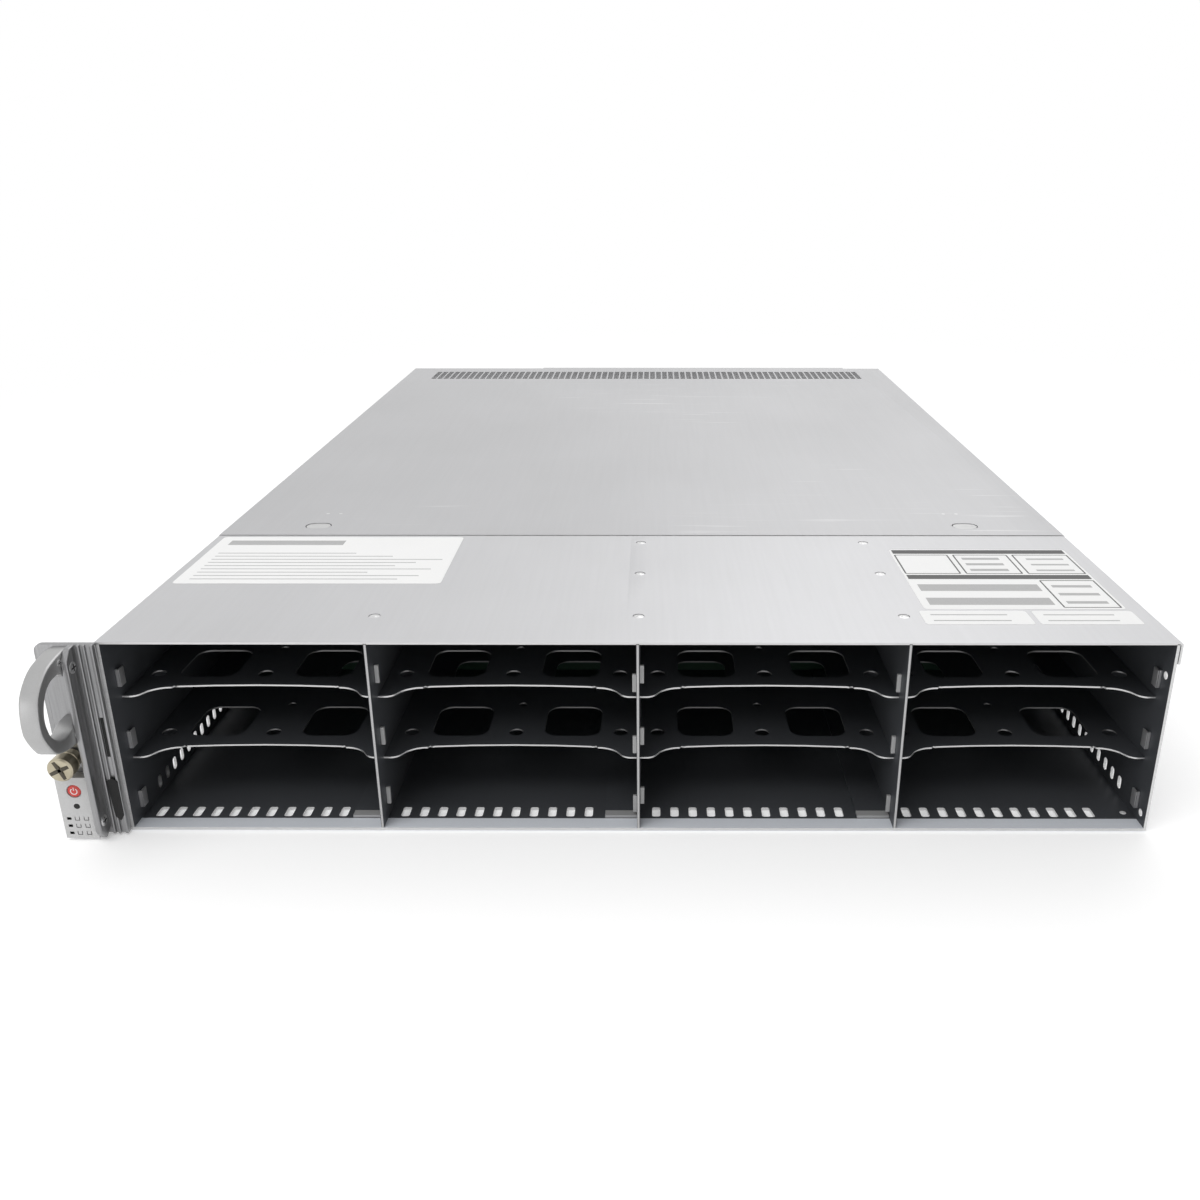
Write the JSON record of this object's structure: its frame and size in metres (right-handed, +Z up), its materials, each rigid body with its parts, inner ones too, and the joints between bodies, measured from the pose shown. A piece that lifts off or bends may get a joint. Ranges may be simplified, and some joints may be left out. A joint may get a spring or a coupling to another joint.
{
  "type": "rack server",
  "caption": "Two-unit rack server: flat steel case with an empty drive cage in front, a lift-off lid, slide-out power supplies, rear connectors and card slots.",
  "frame": {"origin": "on the underside of the case, in the middle of its width and depth", "axes": "+X to the right seen from the front, +Y from front to rear, +Z up"},
  "size_m": [0.4598, 0.6925, 0.088],
  "materials": {
    "zinc_steel": "satin zinc-coated sheet",
    "cage_steel": "dark plated sheet",
    "psu_steel": "bright satin sheet",
    "bright_steel": "polished wire",
    "nickel": "nickel plate worn at the edges",
    "ear_aluminium": "fine blasted",
    "black_plastic": "moulded",
    "maroon_plastic": "moulded",
    "red_plastic": "translucent moulded",
    "grey_plastic": "moulded",
    "bracket_bronze": "dark bronze plate",
    "cream_metal": "pale passivated sheet",
    "port_metal": "tinned shield",
    "board": "solder mask",
    "sink_aluminium": "mill finish",
    "fan_plastic": "moulded"
  },
  "bodies": {
    "chassis": {"chassis_tray": "zinc_steel", "front_top_cover": "zinc_steel", "drive_backplane": "board", "backplane_sockets": "black_plastic", "fan_housings": "fan_plastic", "motherboard": "board", "cpu_heatsinks": "sink_aluminium", "memory_modules": "board", "riser_card": "board", "psu_cage": "zinc_steel", "power_board": "board", "rear_vent_panel": "zinc_steel", "riser_bracket_left": "zinc_steel", "card_bracket_left": "bracket_bronze", "riser_bracket_middle": "zinc_steel", "io_panel": "zinc_steel", "lan_ports": "port_metal", "usb_ports": "port_metal", "mgmt_port": "port_metal", "serial_port": "port_metal", "vga_port": "port_metal", "network_panel": "cream_metal", "sfp_cages": "port_metal", "rear_post": "zinc_steel", "slot_frame": "zinc_steel", "slot_blanks": "zinc_steel", "card_bracket_right": "bracket_bronze", "corner_post": "zinc_steel", "ear_bracket": "ear_aluminium", "ear_handle": "ear_aluminium", "control_panel": "grey_plastic", "bay_divider_1": "cage_steel", "bay_divider_2": "cage_steel", "bay_divider_3": "cage_steel", "bay_shelves_1": "cage_steel", "bay_shelves_2": "cage_steel", "bay_shelves_3": "cage_steel", "bay_shelves_4": "cage_steel"},
    "lid": {"lid": "zinc_steel"},
    "lid_button_left": {"lid_button_left": "zinc_steel"},
    "lid_button_right": {"lid_button_right": "zinc_steel"},
    "psu_1": {"psu_1_case": "psu_steel", "psu_1_inlet": "black_plastic"},
    "psu_2": {"psu_2_case": "psu_steel", "psu_2_inlet": "black_plastic"},
    "psu_1_bail": {"psu_1_bail": "bright_steel"},
    "psu_2_bail": {"psu_2_bail": "bright_steel"},
    "psu_1_lever": {"psu_1_lever": "maroon_plastic"},
    "psu_2_lever": {"psu_2_lever": "maroon_plastic"},
    "psu_1_fan": {"psu_1_rotor": "fan_plastic"},
    "psu_2_fan": {"psu_2_rotor": "fan_plastic"},
    "fan_1": {"fan_rotor_1": "fan_plastic"},
    "fan_2": {"fan_rotor_2": "fan_plastic"},
    "fan_3": {"fan_rotor_3": "fan_plastic"},
    "riser_latch_left": {"riser_latch_left": "black_plastic"},
    "riser_latch_middle": {"riser_latch_middle": "black_plastic"},
    "thumbscrew": {"thumbscrew": "nickel"},
    "power_button": {"power_button": "red_plastic"}
  },
  "joints": [
    {"name": "lid_lift", "type": "slide", "parent": "chassis", "child": "lid", "axis": [0, 0, 1], "range_m": [0, 0.15]},
    {"name": "lid_button_left_press", "type": "slide", "parent": "lid", "child": "lid_button_left", "axis": [0, 0, -1], "range_m": [0, 0.002], "stiffness_N_per_m": 600, "springref_m": -0.001},
    {"name": "lid_button_right_press", "type": "slide", "parent": "lid", "child": "lid_button_right", "axis": [0, 0, -1], "range_m": [0, 0.002], "stiffness_N_per_m": 600, "springref_m": -0.001},
    {"name": "psu_1_slide", "type": "slide", "parent": "chassis", "child": "psu_1", "axis": [0, 1, 0], "range_m": [0, 0.3]},
    {"name": "psu_1_bail_swing", "type": "hinge", "parent": "psu_1", "child": "psu_1_bail", "pos_m": [0.1938, 0.3249, 0.022], "axis": [-1, 0, 0], "range_deg": [0, 180]},
    {"name": "psu_1_lever_press", "type": "slide", "parent": "psu_1", "child": "psu_1_lever", "axis": [1, 0, 0], "range_m": [0, 0.004], "stiffness_N_per_m": 500, "springref_m": -0.001},
    {"name": "psu_1_fan_spin", "type": "hinge", "parent": "psu_1", "child": "psu_1_fan", "pos_m": [0.1938, 0.3215, 0.022], "axis": [0, 1, 0], "continuous": true},
    {"name": "psu_2_slide", "type": "slide", "parent": "chassis", "child": "psu_2", "axis": [0, 1, 0], "range_m": [0, 0.3]},
    {"name": "psu_2_bail_swing", "type": "hinge", "parent": "psu_2", "child": "psu_2_bail", "pos_m": [0.1178, 0.3249, 0.022], "axis": [1, 0, 0], "range_deg": [0, 180]},
    {"name": "psu_2_lever_press", "type": "slide", "parent": "psu_2", "child": "psu_2_lever", "axis": [1, 0, 0], "range_m": [0, 0.004], "stiffness_N_per_m": 500, "springref_m": -0.001},
    {"name": "psu_2_fan_spin", "type": "hinge", "parent": "psu_2", "child": "psu_2_fan", "pos_m": [0.1178, 0.3215, 0.022], "axis": [0, 1, 0], "continuous": true},
    {"name": "fan_1_spin", "type": "hinge", "parent": "chassis", "child": "fan_1", "pos_m": [-0.14, -0.1301, 0.0412], "axis": [0, 1, 0], "continuous": true},
    {"name": "fan_2_spin", "type": "hinge", "parent": "chassis", "child": "fan_2", "pos_m": [0, -0.1301, 0.0412], "axis": [0, 1, 0], "continuous": true},
    {"name": "fan_3_spin", "type": "hinge", "parent": "chassis", "child": "fan_3", "pos_m": [0.14, -0.1301, 0.0412], "axis": [0, 1, 0], "continuous": true},
    {"name": "riser_latch_left_turn", "type": "hinge", "parent": "chassis", "child": "riser_latch_left", "pos_m": [0.1667, 0.3235, 0.06535], "axis": [0, 1, 0], "range_deg": [0, 90]},
    {"name": "riser_latch_middle_turn", "type": "hinge", "parent": "chassis", "child": "riser_latch_middle", "pos_m": [-0.003, 0.3145, 0.0348], "axis": [0, 1, 0], "range_deg": [0, 90]},
    {"name": "thumbscrew_turn", "type": "hinge", "parent": "chassis", "child": "thumbscrew", "pos_m": [-0.23433, -0.3235, 0.037], "axis": [0, 1, 0], "continuous": true},
    {"name": "power_button_press", "type": "slide", "parent": "chassis", "child": "power_button", "axis": [0, 1, 0], "range_m": [0, 0.001], "stiffness_N_per_m": 600, "springref_m": -0.0005}
  ]
}
